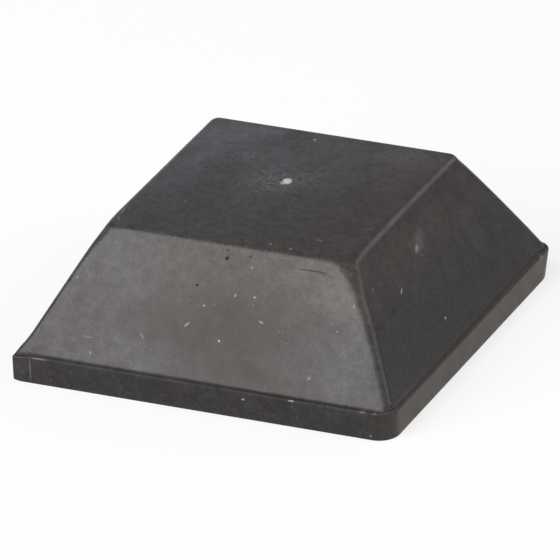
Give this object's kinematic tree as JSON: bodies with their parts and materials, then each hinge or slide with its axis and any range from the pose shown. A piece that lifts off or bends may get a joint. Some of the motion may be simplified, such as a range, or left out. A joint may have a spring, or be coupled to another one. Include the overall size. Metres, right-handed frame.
{
  "type": "rubber foot",
  "caption": "Square stick-on rubber foot that tapers from a straight band round its flat base to a smaller flat top, and keeps a small case or instrument from sliding.",
  "frame": {"origin": "centre of the flat base", "axes": "+Z out through the flat top, X and Y along the sides of the base"},
  "size_m": [0.0206, 0.0206, 0.0076],
  "materials": {
    "rubber": "satin"
  },
  "bodies": {
    "root": {"rubber_foot": "rubber"}
  },
  "joints": []
}
